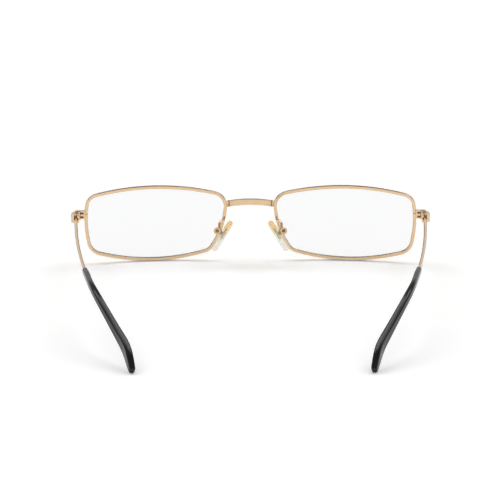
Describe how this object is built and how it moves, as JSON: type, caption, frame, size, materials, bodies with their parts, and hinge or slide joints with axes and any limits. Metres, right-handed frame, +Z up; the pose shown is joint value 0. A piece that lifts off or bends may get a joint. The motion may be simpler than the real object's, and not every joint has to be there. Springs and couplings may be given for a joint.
{
  "type": "rectangular eyeglasses",
  "caption": "Thin metal full-rim glasses with low rectangular lenses, clear rocking nose pads and hinged wire temples that end in bent black sleeves; worn to correct sight.",
  "frame": {"origin": "On the table plane, in the middle of the footprint of the open glasses standing on the lower rims and the temple tips.", "axes": "X runs across the face with the wearer's left at +X, the front looks along -Y and the temples run back along +Y, Z is up."},
  "size_m": [0.134, 0.1376, 0.0282],
  "materials": {
    "gold_metal": "polished champagne gold plating on nickel alloy wire",
    "screw_metal": "gold plated slotted screws",
    "clear_lens": "clear coated lens plastic",
    "clear_silicone": "clear soft pad plastic",
    "insert_metal": "plain gold plated sheet",
    "black_plastic": "glossy black sleeve"
  },
  "bodies": {
    "front": {"bridge": "gold_metal", "left_rim": "gold_metal", "left_rim_lock_upper": "gold_metal", "left_rim_lock_lower": "gold_metal", "left_end_piece": "gold_metal", "left_front_hinge_leaf": "gold_metal", "left_pad_arm": "gold_metal", "left_pad_box": "gold_metal", "left_rim_lock_screw": "screw_metal", "left_hinge_screw": "screw_metal", "left_pad_screw": "screw_metal", "left_lens": "clear_lens", "right_rim": "gold_metal", "right_rim_lock_upper": "gold_metal", "right_rim_lock_lower": "gold_metal", "right_end_piece": "gold_metal", "right_front_hinge_leaf": "gold_metal", "right_pad_arm": "gold_metal", "right_pad_box": "gold_metal", "right_rim_lock_screw": "screw_metal", "right_hinge_screw": "screw_metal", "right_pad_screw": "screw_metal", "right_lens": "clear_lens"},
    "left_temple": {"left_temple_hinge_leaf": "gold_metal", "left_temple_wire": "gold_metal", "left_temple_tip": "black_plastic"},
    "right_temple": {"right_temple_hinge_leaf": "gold_metal", "right_temple_wire": "gold_metal", "right_temple_tip": "black_plastic"},
    "left_pad": {"left_nose_pad": "clear_silicone", "left_pad_insert": "insert_metal"},
    "right_pad": {"right_nose_pad": "clear_silicone", "right_pad_insert": "insert_metal"}
  },
  "joints": [
    {"name": "left_temple_fold", "type": "hinge", "parent": "front", "child": "left_temple", "pos_m": [0.06465, -0.05873, 0.0189], "axis": [0, -0.0156, 0.9999], "range_deg": [0, 78]},
    {"name": "right_temple_fold", "type": "hinge", "parent": "front", "child": "right_temple", "pos_m": [-0.06465, -0.05873, 0.0189], "axis": [0, 0.0156, -0.9999], "range_deg": [0, 64]},
    {"name": "left_pad_rock", "type": "hinge", "parent": "front", "child": "left_pad", "pos_m": [0.01225, -0.05767, 0.01311], "axis": [0.1637, 0.9529, 0.2552], "range_deg": [-10, 10]},
    {"name": "right_pad_rock", "type": "hinge", "parent": "front", "child": "right_pad", "pos_m": [-0.01225, -0.05767, 0.01311], "axis": [-0.1637, 0.9529, 0.2552], "range_deg": [-10, 10]}
  ]
}
